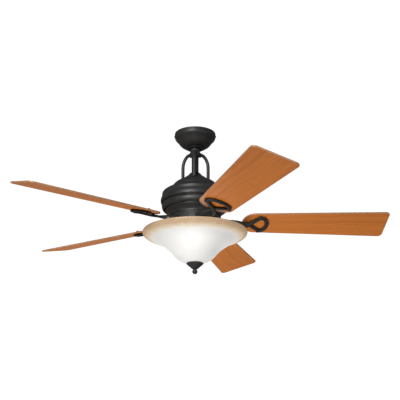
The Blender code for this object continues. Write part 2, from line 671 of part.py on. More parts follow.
def build_bowl():
    turned("glass_bowl", shell_outline(BOWL_PROFILE, BOWL_WALL), LARGE, "etched_glass")
    turned("centre_rod", disc_outline(ROD_THREAD_RADIUS, BLADE_PLANE - 163 * MM, BLADE_PLANE - 30 * MM), TINY,
           "zinc_steel")
    washer = above_blades([(14, -144.4), (14, -146.8), (5.5, -146.8), (5.5, -144.4)])
    turned("bowl_washer", washer, SMALL, "rubber")
    cap = above_blades([(29, -150.9), (30.2, -151.9), (29.4, -153.8), (20.2, -162), (12.2, -169.2),
                        (7.2, -172.2), (5.4, -172.2), (5.4, -167.6), (17, -159), (26.6, -153)])
    turned("finial_cap", cap, MEDIUM, "black_metal")
    outline = above_blades([(0, -167), (4.4, -167), (5.1, -172.6), (6.4, -173), (6.2, -174.2), (8, -176.2),
                            (9.3, -179.3), (9.3, -182.7), (7.9, -186.2), (5, -188.9), (0, -190.3)])
    turned("finial_knob", outline, SMALL, "black_metal")


# ---------------------------------------------------------------- the whole fan

def main():
    clear_scene()
    build_bracket()
    build_bracket_screws()
    build_canopy()
    build_receiver()
    build_liner()
    build_ball()
    build_pin("ball_pin", BALL_PIN_HEIGHT, 19 * MM)
    build_rod()
    build_collar()
    build_arms()
    build_housing()
    build_yoke()
    build_stator()
    rotor_axis = add_empty("rotor_axis", (0, 0, 0))
    build_rotor(rotor_axis)
    blade_axis = add_empty("blade_axis", (0, 0, BLADE_PLANE), rotor_axis)
    build_irons(blade_axis)
    build_blades(blade_axis)
    build_switch_housing()
    build_light_fitter()
    build_lamps()
    build_bowl()


main()
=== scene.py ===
"""The looks of a ceiling fan with a glass bowl light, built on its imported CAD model."""
import math

import bmesh
import bpy
from mathutils import Matrix, Vector, noise


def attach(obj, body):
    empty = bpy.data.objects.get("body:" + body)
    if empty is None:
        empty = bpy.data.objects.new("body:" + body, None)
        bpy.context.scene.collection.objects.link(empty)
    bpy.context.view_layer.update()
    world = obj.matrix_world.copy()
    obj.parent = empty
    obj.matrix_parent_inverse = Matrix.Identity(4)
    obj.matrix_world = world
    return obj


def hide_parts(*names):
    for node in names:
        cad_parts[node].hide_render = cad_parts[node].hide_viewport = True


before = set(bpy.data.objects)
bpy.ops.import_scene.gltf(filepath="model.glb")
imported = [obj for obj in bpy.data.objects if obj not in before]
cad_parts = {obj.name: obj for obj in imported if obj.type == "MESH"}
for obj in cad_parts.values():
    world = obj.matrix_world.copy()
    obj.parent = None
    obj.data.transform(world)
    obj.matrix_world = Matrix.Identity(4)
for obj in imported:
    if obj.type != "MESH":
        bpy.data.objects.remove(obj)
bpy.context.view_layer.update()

MM = 0.001
BLADE_PLANE = -0.340            # height of the blades' pitch axes, below the ceiling
BLADE_PITCH = math.radians(15)
FIRST_BLADE = math.radians(1.7)
BLADE_COUNT = 5


def mm(*lengths):
    """Millimetres as metres."""
    return tuple(length * MM for length in lengths)


def in_fan(x, y, z):
    """A point in millimetres from the centre of the blade plane, in metres from the ceiling."""
    return x * MM, y * MM, BLADE_PLANE + z * MM


def about(axis, angle):
    return Matrix.Rotation(angle, 4, axis)


def shift(x, y, z):
    return Matrix.Translation((x, y, z))


def added(name, data):
    """A new object in the scene."""
    obj = bpy.data.objects.new(name, data)
    bpy.context.scene.collection.objects.link(obj)
    return obj


def applied(obj):
    """The object's mesh with its modifiers applied. The object itself is deleted."""
    graph = bpy.context.evaluated_depsgraph_get()
    mesh = bpy.data.meshes.new_from_object(obj.evaluated_get(graph))
    bpy.data.objects.remove(obj)
    mesh.materials.clear()
    mesh.shade_smooth()
    return mesh


# ------------------------ camera, light and floor

CAMERA_RISE = math.radians(17.26)    # how steeply it looks up
CAMERA_DISTANCE = 2.9286
CAMERA_LENS = 73.79
CAMERA_SHIFT = (0.0125, 0.0558)
CAMERA_ROLL = math.radians(0.12)
WORLD_BELOW = 0.30                   # the world's light from below and from above
WORLD_ABOVE = 0.12
LIGHTS = (                           # name, place, target, width and power
    ("key", (-0.95, -2.75, 0.30), (0, 0, -0.4), 0.9, 100),
    ("fill", (2.6, -2.4, -0.9), (0, 0, -0.25), 1.8, 10),
    ("under", (-0.35, 0.5, -2.25), (0, 0, -0.25), 1.8, 40),
)
FLOOR_HEIGHT = -2.45


def make_camera():
    """Below the fan and looking up at it."""
    data = bpy.data.cameras.new("camera")
    data.sensor_width = 36
    data.lens = CAMERA_LENS
    data.shift_x, data.shift_y = CAMERA_SHIFT
    data.clip_end = 50
    camera = added("camera", data)
    ahead = Vector((0, math.cos(CAMERA_RISE), math.sin(CAMERA_RISE)))
    camera.location = Vector((0, 0, BLADE_PLANE)) - CAMERA_DISTANCE * ahead
    aim = ahead.to_track_quat("-Z", "Y").to_matrix().to_4x4()
    camera.rotation_euler = (aim @ about("Z", CAMERA_ROLL)).to_euler()
    bpy.context.scene.camera = camera


def make_world():
    """The camera sees plain white, and the fan is lit by a grey that is brighter from below."""
    world = bpy.data.worlds.new("studio")
    world.use_nodes = True
    world.node_tree.nodes.clear()
    w = Nodes(world.node_tree)
    along = w.node("ShaderNodeTexCoord").outputs["Generated"]
    height = w.node("ShaderNodeSeparateXYZ", {"Vector": along}).outputs["Z"]
    light = w.node("ShaderNodeBackground", {"Color": (0.96, 0.98, 1),
                                            "Strength": w.span(height, -0.6, 0.5, WORLD_BELOW, WORLD_ABOVE)})
    seen = w.node("ShaderNodeBackground", {"Color": (1, 1, 1), "Strength": 1.05})
    by_camera = w.node("ShaderNodeLightPath").outputs["Is Camera Ray"]
    pick = w.node("ShaderNodeMixShader", {0: by_camera, 1: light.outputs[0], 2: seen.outputs[0]})
    w.node("ShaderNodeOutputWorld", {"Surface": pick.outputs[0]})
    bpy.context.scene.world = world


def make_lights():
    for name, position, target, size, power in LIGHTS:
        data = bpy.data.lights.new(name, "AREA")
        data.shape = "DISK"
        data.size = size
        data.energy = power
        lamp = added(name, data)
        lamp.location = position
        lamp.rotation_euler = (Vector(target) - Vector(position)).to_track_quat("-Z", "Y").to_euler()
        lamp.visible_glossy = name != "under"


def make_floor():
    bm = bmesh.new()
    bmesh.ops.create_grid(bm, x_segments=8, y_segments=8, size=9)
    mesh = bpy.data.meshes.new("floor")
    bm.to_mesh(mesh)
    bm.free()
    floor = added("floor", mesh)
    floor.location = (0, 0, FLOOR_HEIGHT)
    mesh.materials.append(floor_paint())


# ------------------------ material nodes

class Nodes:
    """Short calls for the nodes of a tree."""

    def __init__(self, tree):
        self.tree = tree

    def node(self, kind, inputs=(), **settings):
        made = self.tree.nodes.new(kind)
        for key, value in settings.items():
            setattr(made, key, value)
        for key, value in dict(inputs).items():
            self.feed(value, made.inputs[key])
        return made

    def feed(self, value, socket):
        if isinstance(value, bpy.types.NodeSocket):
            self.tree.links.new(value, socket)
        elif isinstance(value, tuple) and len(value) == 3 and socket.type == "RGBA":
            socket.default_value = (*value, 1)
        else:
            socket.default_value = value

    def local(self):
        """The piece's own coordinates, in metres."""
        return self.node("ShaderNodeTexCoord").outputs["Object"]

    def scaled(self, vector, scale):
        return self.node("ShaderNodeMapping", {"Vector": vector, "Scale": scale}).outputs[0]

    def noise(self, vector, scale, detail, roughness=0.5):
        made = self.node("ShaderNodeTexNoise", {"Vector": vector, "Scale": scale, "Detail": detail,
                                                "Roughness": roughness})
        return made.outputs["Fac"]

    def ramp(self, value, *stops):
        """A ramp through (position, colour) stops."""
        made = self.node("ShaderNodeValToRGB", {"Fac": value})
        elements = made.color_ramp.elements
        while len(elements) < len(stops):
            elements.new(0.5)
        for element, (position, colour) in zip(elements, stops):
            element.position = position
            element.color = (*colour, 1)
        return made.outputs[0]

    def span(self, value, low, high, out_low=0.0, out_high=1.0):
        made = self.node("ShaderNodeMapRange", {"Value": value, "From Min": low, "From Max": high,
                                                "To Min": out_low, "To Max": out_high})
        return made.outputs[0]

    def times(self, first, second):
        return self.math("MULTIPLY", first, second)

    def math(self, operation, first, second=0.0):
        return self.node("ShaderNodeMath", {0: first, 1: second}, operation=operation).outputs[0]

    def add(self, first, second):
        """The sum of two vectors."""
        return self.node("ShaderNodeVectorMath", {0: first, 1: second}, operation="ADD").outputs[0]

    def combine(self, **parts):
        return self.node("ShaderNodeCombineXYZ", parts).outputs[0]

    def mix(self, share, first, second):
        """A mix of two colours, which are this node's inputs 6 and 7."""
        made = self.node("ShaderNodeMix", {0: share, 6: first, 7: second}, data_type="RGBA")
        return made.outputs[2]

    def attribute(self, name):
        return self.node("ShaderNodeAttribute", attribute_name=name).outputs["Fac"]

    def bump(self, height, strength, distance, normal=None):
        made = self.node("ShaderNodeBump", {"Height": height, "Strength": strength, "Distance": distance})
        if normal is not None:
            self.tree.links.new(normal, made.inputs["Normal"])
        return made.outputs[0]

    def pointed(self):
        return self.node("ShaderNodeNewGeometry").outputs["Pointiness"]


class Shader(Nodes):
    """A new material with a Principled shader."""

    def __init__(self, name, **values):
        self.material = bpy.data.materials.new(name)
        self.material.use_nodes = True
        super().__init__(self.material.node_tree)
        self.set(**values)

    def set(self, **values):
        for key, value in values.items():
            self.feed(value, self.tree.nodes["Principled BSDF"].inputs[key.replace("_", " ")])


def black_metal():
    """Satin black powder coat: fine orange peel, slight clouding, and edges rubbed a little paler."""
    s = Shader("black_metal", Specular_IOR_Level=0.42)
    at = s.local()
    cloud = s.noise(at, 21.0, 4.0, 0.6)
    speck = s.noise(at, 900.0, 2.0)
    peel = s.noise(at, 640.0, 2.0, 0.55)
    colour = s.ramp(cloud, (0.30, (0.0165, 0.0160, 0.0160)), (0.72, (0.027, 0.0262, 0.0255)))
    colour = s.mix(s.span(speck, 0.62, 0.80, 0.0, 0.5), colour, (0.050, 0.048, 0.045))
    worn = s.times(s.span(s.pointed(), 0.53, 0.62), s.span(s.noise(at, 160.0, 3.0), 0.35, 0.65))
    colour = s.mix(s.times(worn, 0.5), colour, (0.085, 0.078, 0.070))
    s.set(Base_Color=colour, Metallic=0.15, Roughness=s.span(cloud, 0.2, 0.8, 0.42, 0.54),
          Normal=s.bump(peel, 0.12, 0.00025))
    return s.material


def cast_metal():
    """The same coat over a sand casting, so it is rougher and lumpier."""
    s = Shader("cast_metal", Specular_IOR_Level=0.30)
    at = s.local()
    cloud = s.noise(at, 34.0, 4.0, 0.6)
    lumps = s.noise(at, 130.0, 3.0, 0.6)
    grains = s.noise(at, 1100.0, 2.0)
    colour = s.ramp(cloud, (0.30, (0.0125, 0.0125, 0.0130)), (0.75, (0.023, 0.0225, 0.022)))
    worn = s.times(s.span(s.pointed(), 0.53, 0.60), s.span(s.noise(at, 200.0, 3.0), 0.35, 0.65))
    colour = s.mix(s.times(worn, 0.6), colour, (0.090, 0.082, 0.075))
    soft = s.bump(lumps, 0.18, 0.0010)
    s.set(Base_Color=colour, Metallic=0.05, Roughness=s.span(cloud, 0.2, 0.8, 0.46, 0.62),
          Normal=s.bump(grains, 0.25, 0.0003, soft))
    return s.material


def wood():
    """Cherry veneer with its grain along the blade, and its edges painted paler: a painted highlight where
    they catch the light.
    """
    s = Shader("cherry_wood", Specular_IOR_Level=0.4, Coat_Weight=0.25, Coat_Roughness=0.26)
    at = s.local()
    own = s.node("ShaderNodeObjectInfo").outputs["Random"]
    placed = s.add(at, s.combine(X=s.times(own, 3.1), Y=s.times(own, 1.7), Z=own))
    drift = s.noise(s.scaled(placed, (2.2, 7.0, 7.0)), 1.0, 2.0)
    bent = s.add(placed, s.combine(Y=s.span(drift, 0, 1, -0.035, 0.035)))
    rings = s.noise(s.scaled(bent, (1.2, 95.0, 95.0)), 1.0, 3.0, 0.62)
    streaks = s.noise(s.scaled(bent, (5.0, 420.0, 420.0)), 1.0, 2.0, 0.6)
    pores = s.noise(s.scaled(bent, (46.0, 1900.0, 1900.0)), 1.0, 1.0)
    broad = s.noise(s.scaled(placed, (1.6, 11.0, 11.0)), 1.0, 2.0)
    colour = s.ramp(rings, (0.28, (0.385, 0.102, 0.010)), (0.46, (0.490, 0.140, 0.013)),
                    (0.58, (0.550, 0.168, 0.017)), (0.78, (0.460, 0.128, 0.011)))
    colour = s.mix(s.span(streaks, 0.40, 0.72, 0.0, 0.42), colour, (0.350, 0.078, 0.008))
    colour = s.mix(s.span(broad, 0.35, 0.70, 0.0, 0.30), colour, (0.600, 0.180, 0.022))
    colour = s.mix(s.span(pores, 0.60, 0.74, 0.0, 0.45), colour, (0.200, 0.050, 0.010))
    # painted highlight: the rounded edges get a paler wood colour, standing in for the light they catch
    rim = s.attribute("rim")
    edge_highlight_patches = s.span(s.noise(at, 260.0, 2.0), 0.3, 0.7, 0.55, 1.0)
    colour = s.mix(s.times(rim, edge_highlight_patches), colour, (0.330, 0.190, 0.110))
    height = s.math("SUBTRACT", s.times(rings, 0.4), s.span(pores, 0.55, 0.75))
    s.set(Base_Color=colour, Roughness=s.span(streaks, 0.2, 0.8, 0.34, 0.46),
          Normal=s.bump(height, 0.25, 0.0002))
    return s.material


def etched_glass():
    """Frosted white glass, tea-stained towards its rim, with a painted glow from inside: emission standing in
    for the lamps' light through it.
    """
    s = Shader("etched_glass", Specular_IOR_Level=0.45, Coat_Weight=0.10, Coat_Roughness=0.18)
    at = s.local()
    stain = s.attribute("stain")
    glow = s.attribute("glow")
    mottle = s.noise(at, 46.0, 5.0, 0.65)
    fine = s.noise(at, 300.0, 3.0, 0.6)
    uneven = s.math("ADD", stain, s.span(mottle, 0.25, 0.75, -0.13, 0.13))
    tone = s.ramp(uneven, (0.0, (0.80, 0.795, 0.775)), (0.30, (0.76, 0.72, 0.65)), (0.62, (0.64, 0.51, 0.36)),
                  (0.88, (0.50, 0.35, 0.205)), (1.0, (0.42, 0.275, 0.150)))
    tone = s.mix(s.span(fine, 0.35, 0.65, 0.0, 0.10), tone, (0.90, 0.86, 0.80))
    # painted glow: the glass emits light of its own, standing in for the lamps shining through it
    shine = s.times(glow, s.span(mottle, 0.2, 0.8, 0.94, 1.06))
    s.set(Base_Color=s.mix(0.5, tone, (0.0, 0.0, 0.0)), Emission_Color=tone, Emission_Strength=shine,
          Roughness=s.span(mottle, 0.2, 0.8, 0.38, 0.52), Normal=s.bump(fine, 0.12, 0.0002))
    return s.material


def bulb_glass():
    s = Shader("bulb_glass", Emission_Strength=1.0, Specular_IOR_Level=0.5)
    at = s.local()
    powder = s.noise(at, 70.0, 3.0)
    colour = s.ramp(powder, (0.3, (0.93, 0.89, 0.80)), (0.7, (0.98, 0.95, 0.88)))
    s.set(Base_Color=colour, Emission_Color=colour, Roughness=s.span(powder, 0.3, 0.7, 0.25, 0.34),
          Normal=s.bump(s.noise(at, 500.0, 2.0), 0.05, 0.0001))
    return s.material


def plated(name, dark, light, rough, scale=(1.0, 1.0, 40.0)):
    """Plain or plated metal with fine brushing along one way and a little staining."""
    s = Shader(name, Metallic=1.0)
    at = s.local()
    brushed = s.noise(s.scaled(at, scale), 60.0, 3.0, 0.6)
    stain = s.noise(at, 40.0, 4.0, 0.6)
    colour = s.mix(s.span(stain, 0.3, 0.7), dark, light)
    colour = s.mix(s.span(brushed, 0.5, 0.8, 0.0, 0.3), colour, dark)
    s.set(Base_Color=colour, Roughness=s.span(stain, 0.2, 0.8, rough - 0.06, rough + 0.10),
          Normal=s.bump(brushed, 0.15, 0.0002))
    return s.material


def laminated():
    """A stack of steel sheets, seen edge on."""
    s = Shader("lamination", Metallic=0.9)
    at = s.local()
    height = s.node("ShaderNodeSeparateXYZ", {"Vector": at}).outputs["Z"]
    sheets = s.math("FRACT", s.times(height, 2000.0))
    gap = s.span(sheets, 0.0, 0.18)
    stain = s.noise(at, 90.0, 4.0)
    colour = s.mix(s.span(stain, 0.3, 0.7), (0.17, 0.165, 0.17), (0.30, 0.29, 0.285))
    colour = s.mix(gap, (0.05, 0.048, 0.05), colour)
    s.set(Base_Color=colour, Roughness=s.span(stain, 0.3, 0.7, 0.45, 0.62), Normal=s.bump(gap, 0.4, 0.0002))
    return s.material


def wound_copper():
    s = Shader("copper_winding", Metallic=0.8, Coat_Weight=0.5, Coat_Roughness=0.2)
    at = s.local()
    parts = s.node("ShaderNodeSeparateXYZ", {"Vector": at}).outputs
    strands = s.math("SINE", s.times(parts["Z"], 7000.0))
    wobble = s.noise(at, 120.0, 3.0)
    colour = s.mix(s.span(wobble, 0.3, 0.7), (0.42, 0.16, 0.06), (0.66, 0.30, 0.13))
    colour = s.mix(s.span(strands, -1.0, -0.2, 0.6, 0.0), colour, (0.15, 0.05, 0.02))
    s.set(Base_Color=colour, Roughness=s.span(wobble, 0.3, 0.7, 0.28, 0.42),
          Normal=s.bump(strands, 0.5, 0.0003))
    return s.material


def moulded(name, dark, light, rough, grain=1400.0):
    """Moulded plastic, rubber or glaze with a fine texture."""
    s = Shader(name)
    at = s.local()
    cloud = s.noise(at, 30.0, 4.0)
    texture = s.noise(at, grain, 2.0)
    s.set(Base_Color=s.mix(s.span(cloud, 0.3, 0.7), dark, light), Normal=s.bump(texture, 0.2, 0.0002),
          Roughness=s.span(cloud, 0.25, 0.75, rough - 0.06, rough + 0.08))
    return s.material


def floor_paint():
    s = Shader("floor_paint", Specular_IOR_Level=0.2)
    at = s.local()
    cloud = s.noise(at, 0.8, 3.0)
    s.set(Base_Color=s.mix(s.span(cloud, 0.3, 0.7), (0.80, 0.80, 0.79), (0.83, 0.83, 0.82)),
          Roughness=s.span(cloud, 0.3, 0.7, 0.7, 0.8))
    return s.material


# Each finish: its material, and the CAD slot that it fills
FINISHES = {
    "black_metal": (black_metal(), "black_metal"),
    "cast_metal": (cast_metal(), "black_metal"),
    "wood": (wood(), "blade_wood"),
    "etched_glass": (etched_glass(), "etched_glass"),
    "bulb_glass": (bulb_glass(), "bulb_glass"),
    "zinc": (plated("zinc_steel", (0.46, 0.46, 0.45), (0.62, 0.62, 0.60), 0.34), "zinc_steel"),
    "brass": (plated("brass_screw_base", (0.50, 0.40, 0.20), (0.72, 0.60, 0.33), 0.30, (1.0, 1.0, 4.0)),
              "zinc_steel"),
    "lamination": (laminated(), "lamination"),
    "copper": (wound_copper(), "copper"),
    "nylon": (moulded("nylon", (0.62, 0.60, 0.54), (0.74, 0.72, 0.66), 0.46), "nylon"),
    "plastic": (moulded("black_plastic", (0.022, 0.022, 0.023), (0.040, 0.040, 0.042), 0.48),
                "black_plastic"),
    "porcelain": (moulded("porcelain", (0.80, 0.78, 0.72), (0.88, 0.86, 0.81), 0.20, 300.0), "porcelain"),
    "rubber": (moulded("rubber", (0.020, 0.020, 0.020), (0.036, 0.035, 0.034), 0.78, 900.0), "rubber"),
}


# ------------------------ shapes

def above_blades(points):
    """Millimetre (radius, height above the blade plane) points, in metres from the ceiling."""
    return [(radius * MM, BLADE_PLANE + height * MM) for radius, height in points]


def in_metres(points):
    """Millimetre (radius, height) points, in metres."""
    return [(radius * MM, height * MM) for radius, height in points]


def curve(points, steps):
    """A smooth Catmull-Rom run through the points."""
    points = [Vector(p) for p in points]
    ends = [points[0] * 2 - points[1], *points, points[-1] * 2 - points[-2]]
    run = []
    for a, b, c, d in zip(ends, ends[1:], ends[2:], ends[3:]):
        for k in range(steps):
            t = k / steps
            run.append(0.5 * (2 * b + (c - a) * t + (2 * a - 5 * b + 4 * c - d) * t ** 2
                              + (3 * b - a - 3 * c + d) * t ** 3))
    run.append(points[-1])
    return [tuple(p) for p in run]


LEAST_TURN = 0.35                # corners that turn less than this, in radians, stay as they are


def filleted(points, radius, steps=3, closed=True):
    """The outline with each sharp corner rounded by a radius, or by less where its sides are short."""
    count = len(points)
    result = []
    for k, point in enumerate(points):
        if not closed and k in (0, count - 1):
            result.append(tuple(point))
            continue
        here, before, after = Vector(point), Vector(points[k - 1]), Vector(points[(k + 1) % count])
        back, ahead = before - here, after - here
        if back.length < 1e-7 or ahead.length < 1e-7:
            continue
        turn = math.pi - back.angle(ahead)
        if turn < LEAST_TURN:
            result.append(tuple(point))
            continue
        reach = min(radius * math.tan(turn / 2), 0.45 * back.length, 0.45 * ahead.length)
        first, last = here + back.normalized() * reach, here + ahead.normalized() * reach
        for n in range(steps + 1):
            t = n / steps
            result.append(tuple(first * (1 - t) ** 2 + here * 2 * t * (1 - t) + last * t ** 2))
    return result


def walled(outer, thickness):
    """A wall's closed outline from its outer profile, which runs from the top down."""
    inner = []
    for k, point in enumerate(outer):
        before = Vector(outer[max(k - 1, 0)])
        after = Vector(outer[min(k + 1, len(outer) - 1)])
        along = (after - before).normalized()
        inner.append(tuple(Vector(point) + Vector((along.y, -along.x)) * thickness))
    return list(outer) + inner[::-1]


def finished_mesh(bm, name, angle=38):
    bmesh.ops.recalc_face_normals(bm, faces=bm.faces)
    mesh = bpy.data.meshes.new(name)
    bm.to_mesh(mesh)
    bm.free()
    mesh.shade_smooth()
    mesh.set_sharp_from_angle(angle=math.radians(angle))
    return mesh


def bridge(bm, rings):
    """Faces from each closed ring of vertices to the next."""
    for first, second in zip(rings, rings[1:]):
        for k in range(len(first)):
            after = (k + 1) % len(first)
            bm.faces.new([first[k], first[after], second[after], second[k]])


def turned_mesh(name, outline, sides=128, angle=38):
    """A closed outline turned about Z. Points on the axis have radius 0."""
    bm = bmesh.new()
    rings = []
    for radius, height in outline:
        if radius < 1e-7:
            rings.append([bm.verts.new((0, 0, height))] * sides)
            continue
        angles = [2 * math.pi * k / sides for k in range(sides)]
        rings.append([bm.verts.new((radius * math.cos(a), radius * math.sin(a), height)) for a in angles])
    solid = outline[0][0] < 1e-7 and outline[-1][0] < 1e-7
    pairs = list(zip(rings, rings[1:])) if solid else list(zip(rings, rings[1:] + rings[:1]))
    for lower, upper in pairs:
        for k in range(sides):
            after = (k + 1) % sides
            corners = [lower[k], lower[after], upper[after], upper[k]]
            unique = [v for n, v in enumerate(corners) if v not in corners[:n]]
            if len(unique) > 2:
                bm.faces.new(unique)
    return finished_mesh(bm, name, angle)


def partial_turned_mesh(name, outline, start, sweep, sides):
    """A closed outline turned through part of a circle, with flat ends."""
    bm = bmesh.new()
    rings = []
    for radius, height in outline:
        rings.append([bm.verts.new((radius * math.cos(start + sweep * k / sides),
                                    radius * math.sin(start + sweep * k / sides), height))
                      for k in range(sides + 1)])
    for lower, upper in zip(rings, rings[1:] + rings[:1]):
        for k in range(sides):
            bm.faces.new([lower[k], lower[k + 1], upper[k + 1], upper[k]])
    bm.faces.new([ring[0] for ring in rings])
    bm.faces.new([ring[-1] for ring in reversed(rings)])
    return finished_mesh(bm, name)


def place(name, mesh, finish, body, nodes=(), matrix=None):
    """A piece that rides on a body, takes its finish's material and stands for some CAD nodes."""
    material, usual_slot = FINISHES[finish]
    mesh.materials.clear()
    mesh.materials.append(material)
    piece = added(name, mesh)
    if matrix is not None:
        piece.matrix_world = matrix
    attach(piece, body)
    if nodes:
        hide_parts(*nodes)


def turned(name, outline, finish, body, nodes=(), sides=128, matrix=None, angle=38):
    place(name, turned_mesh(name, outline, sides, angle), finish, body, nodes, matrix)


def box_mesh(name, low, high, bevel, segments=3):
    """A box with rounded edges."""
    bm = bmesh.new()
    bmesh.ops.create_cube(bm, size=1)
    size = Vector(high) - Vector(low)
    middle = (Vector(high) + Vector(low)) / 2
    bmesh.ops.transform(bm, matrix=Matrix.Translation(middle) @ Matrix.Diagonal((*size, 1)), verts=bm.verts)
    bmesh.ops.bevel(bm, geom=bm.edges[:] + bm.verts[:], offset=bevel, segments=segments, profile=0.5,
                    affect="EDGES")
    return finished_mesh(bm, name)


def joined(name, meshes, angle=38):
    """Several meshes as one."""
    bm = bmesh.new()
    for mesh in meshes:
        bm.from_mesh(mesh)
    return finished_mesh(bm, name, angle)


def moved(mesh, matrix):
    mesh.transform(matrix)
    return mesh


BAR_END = 1.6 * MM               # how far a swept bar's rounded end reaches past its path


def swept_mesh(name, path, ups, section, angle=50):
    """A bar with rounded ends: its section's (across, up) points, along a path with its up vectors."""
    bm = bmesh.new()
    rings = []
    last = len(path) - 1
    for k, (point, up) in enumerate(zip(path, ups)):
        along = (Vector(path[min(k + 1, last)]) - Vector(path[max(k - 1, 0)])).normalized()
        across = along.cross(Vector(up)).normalized()
        upright = across.cross(along)
        stations = [(0.0, 1.0)]
        if k == last:
            stations += [(1.1 * MM, 0.80), (BAR_END, 0.45)]
        if k == 0:
            stations = [(-BAR_END, 0.45), (-1.1 * MM, 0.80), (0.0, 1.0)]
        for step, share in stations:
            rings.append([bm.verts.new(Vector(point) + along * step + (across * a + upright * u) * share)
                          for a, u in section])
    bridge(bm, rings)
    bm.faces.new(rings[0])
    bm.faces.new(rings[-1][::-1])
    return finished_mesh(bm, name, angle)


def oval(width, thickness, sides=16, power=2.0):
    """A rounded bar's section: an ellipse, or a squarer one with a higher power."""
    section = []
    for k in range(sides):
        c, s = math.cos(2 * math.pi * k / sides), math.sin(2 * math.pi * k / sides)
        section.append((width / 2 * math.copysign(abs(c) ** (2 / power), c),
                        thickness / 2 * math.copysign(abs(s) ** (2 / power), s)))
    return section


def cut(mesh, cutters):
    """The mesh with other closed meshes cut out of it."""
    draft = added("draft", mesh)
    tools = [added("tool", cutter) for cutter in cutters]
    for tool in tools:
        modifier = draft.modifiers.new("cut", "BOOLEAN")
        modifier.operation = "DIFFERENCE"
        modifier.solver = "EXACT"
        modifier.object = tool
    result = applied(draft)
    for tool in tools:
        bpy.data.objects.remove(tool)
    result.set_sharp_from_angle(angle=math.radians(38))
    return result


def rod_between(radius, start, end, sides=24):
    """A plain closed cylinder mesh between two points, for cutting."""
    start, end = Vector(start), Vector(end)
    along = end - start
    mesh = turned_mesh("rod", [(0, 0), (radius, 0), (radius, along.length), (0, along.length)], sides)
    mesh.transform(Matrix.Translation(start) @ along.to_track_quat("Z", "Y").to_matrix().to_4x4())
    return mesh


# ------------------------ screws

def screw_mesh(name, head, height, shank, length):
    """In millimetres: a domed head below Z 0 with a cross recess, and a threaded shank above."""
    pitch, tip = 0.9, 1.2
    outline = [(0, length), (shank * 0.55, length), (shank, length - tip)]
    level = length - tip
    while level > pitch * 1.6:
        outline += [(shank, level - pitch * 0.35), (shank * 0.80, level - pitch * 0.5),
                    (shank * 0.80, level - pitch * 0.75), (shank, level - pitch * 0.92)]
        level -= pitch
    outline += [(shank, 0), (head * 0.97, 0), (head, -height * 0.12), (head * 0.985, -height * 0.34),
                (head * 0.88, -height * 0.66), (head * 0.66, -height * 0.88), (head * 0.34, -height * 0.985),
                (0, -height)]
    arm, slim, low, high = head * 0.58, head * 0.115, -height * 1.3, -height * 0.28
    slots = [box_mesh("slot", mm(-x, -y, low), mm(x, y, high), 0.12 * MM, 1)
             for x, y in ((arm, slim), (slim, arm))]
    return cut(turned_mesh(name, in_metres(outline), 32, 30), slots)


# ------------------------ ceiling bracket and canopy

BALL_CENTRE = -31 * MM
BALL_RADIUS = 24 * MM
LINER_DEPTH = 18 * MM
BALL_PIN_HEIGHT = BALL_CENTRE + 12 * MM
YOKE_PIN_HEIGHT = BLADE_PLANE + 124 * MM
CANOPY_SCREW_HEIGHT = -9 * MM


def dress_cad(node, finish, softness=0.0):
    """A CAD node that is shown as it is, with a finished material and softened edges."""
    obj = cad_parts[node]
    obj.data.materials.clear()
    obj.data.materials.append(FINISHES[finish][0])
    if softness:
        bevel = obj.modifiers.new("soft_edges", "BEVEL")
        bevel.width = softness
        bevel.segments = 2
        bevel.limit_method = "ANGLE"
        bevel.angle_limit = math.radians(40)


def build_canopy():
    outer = curve([(75, 0), (75.3, -12), (74.5, -16.5), (72.8, -20), (70.9, -22.8)], 5)
    outer += [(69.6, -24), (68.6, -24.4)]
    outer += curve([(67.7, -25.4), (65.4, -28.6), (62, -33), (57.8, -39), (52.4, -45), (44.4, -50.9),
                    (39, -54), (32, -56.2), (23.5, -57.4)], 5)
    mesh = turned_mesh("canopy", filleted(walled(in_metres(outer), 1.2 * MM), 0.5 * MM, 2), 160)
    hole = rod_between(2.5 * MM, (-80 * MM, 0, CANOPY_SCREW_HEIGHT), (80 * MM, 0, CANOPY_SCREW_HEIGHT))
    place("canopy_shell", cut(mesh, [hole]), "black_metal", "mount", ["canopy"])
    ring = in_metres([(31, -57), (31, -58.8), (29, -60.2), (22.4, -61), (21.4, -60), (21.4, -58.6)])
    turned("canopy_trim_ring", filleted(ring, 0.9 * MM, 3), "black_metal", "mount", ["canopy_ring"])
    for label, side in (("left", -1), ("right", 1)):
        turn = shift(side * 75.65 * MM, 0, CANOPY_SCREW_HEIGHT) @ about("Y", -side * math.pi / 2)
        place(f"canopy_thumbscrew_{label}", screw_mesh("canopy_screw", 4, 1.4, 2, 11), "black_metal", "mount",
              [f"canopy_screw_{label}"], turn)
        place(f"outlet_box_screw_{label}", screw_mesh("box_screw", 5, 3.2, 2.1, 12), "zinc", "mount",
              [f"bracket_screw_{label}"], shift(side * 44.5 * MM, 0, -2.35 * MM))
    dress_cad("hanger_bracket", "zinc", 0.35 * MM)


def build_receiver():
    """The receiver's case with its ribs and a blank label panel."""
    body = box_mesh("receiver", mm(-27, 31, -26), mm(27, 54, -2.5), 2.2 * MM, 4)
    tools = [box_mesh("rib", mm(5.2 * k - 0.9, 33, -27), mm(5.2 * k + 0.9, 52, -25.2), 0.3 * MM, 1)
             for k in range(-4, 5)]
    tools.append(box_mesh("label", mm(-19, 36, -3.1), mm(19, 49, -1), 0.2 * MM, 1))
    place("receiver_case", cut(body, tools), "plastic", "mount", ["receiver_box"])


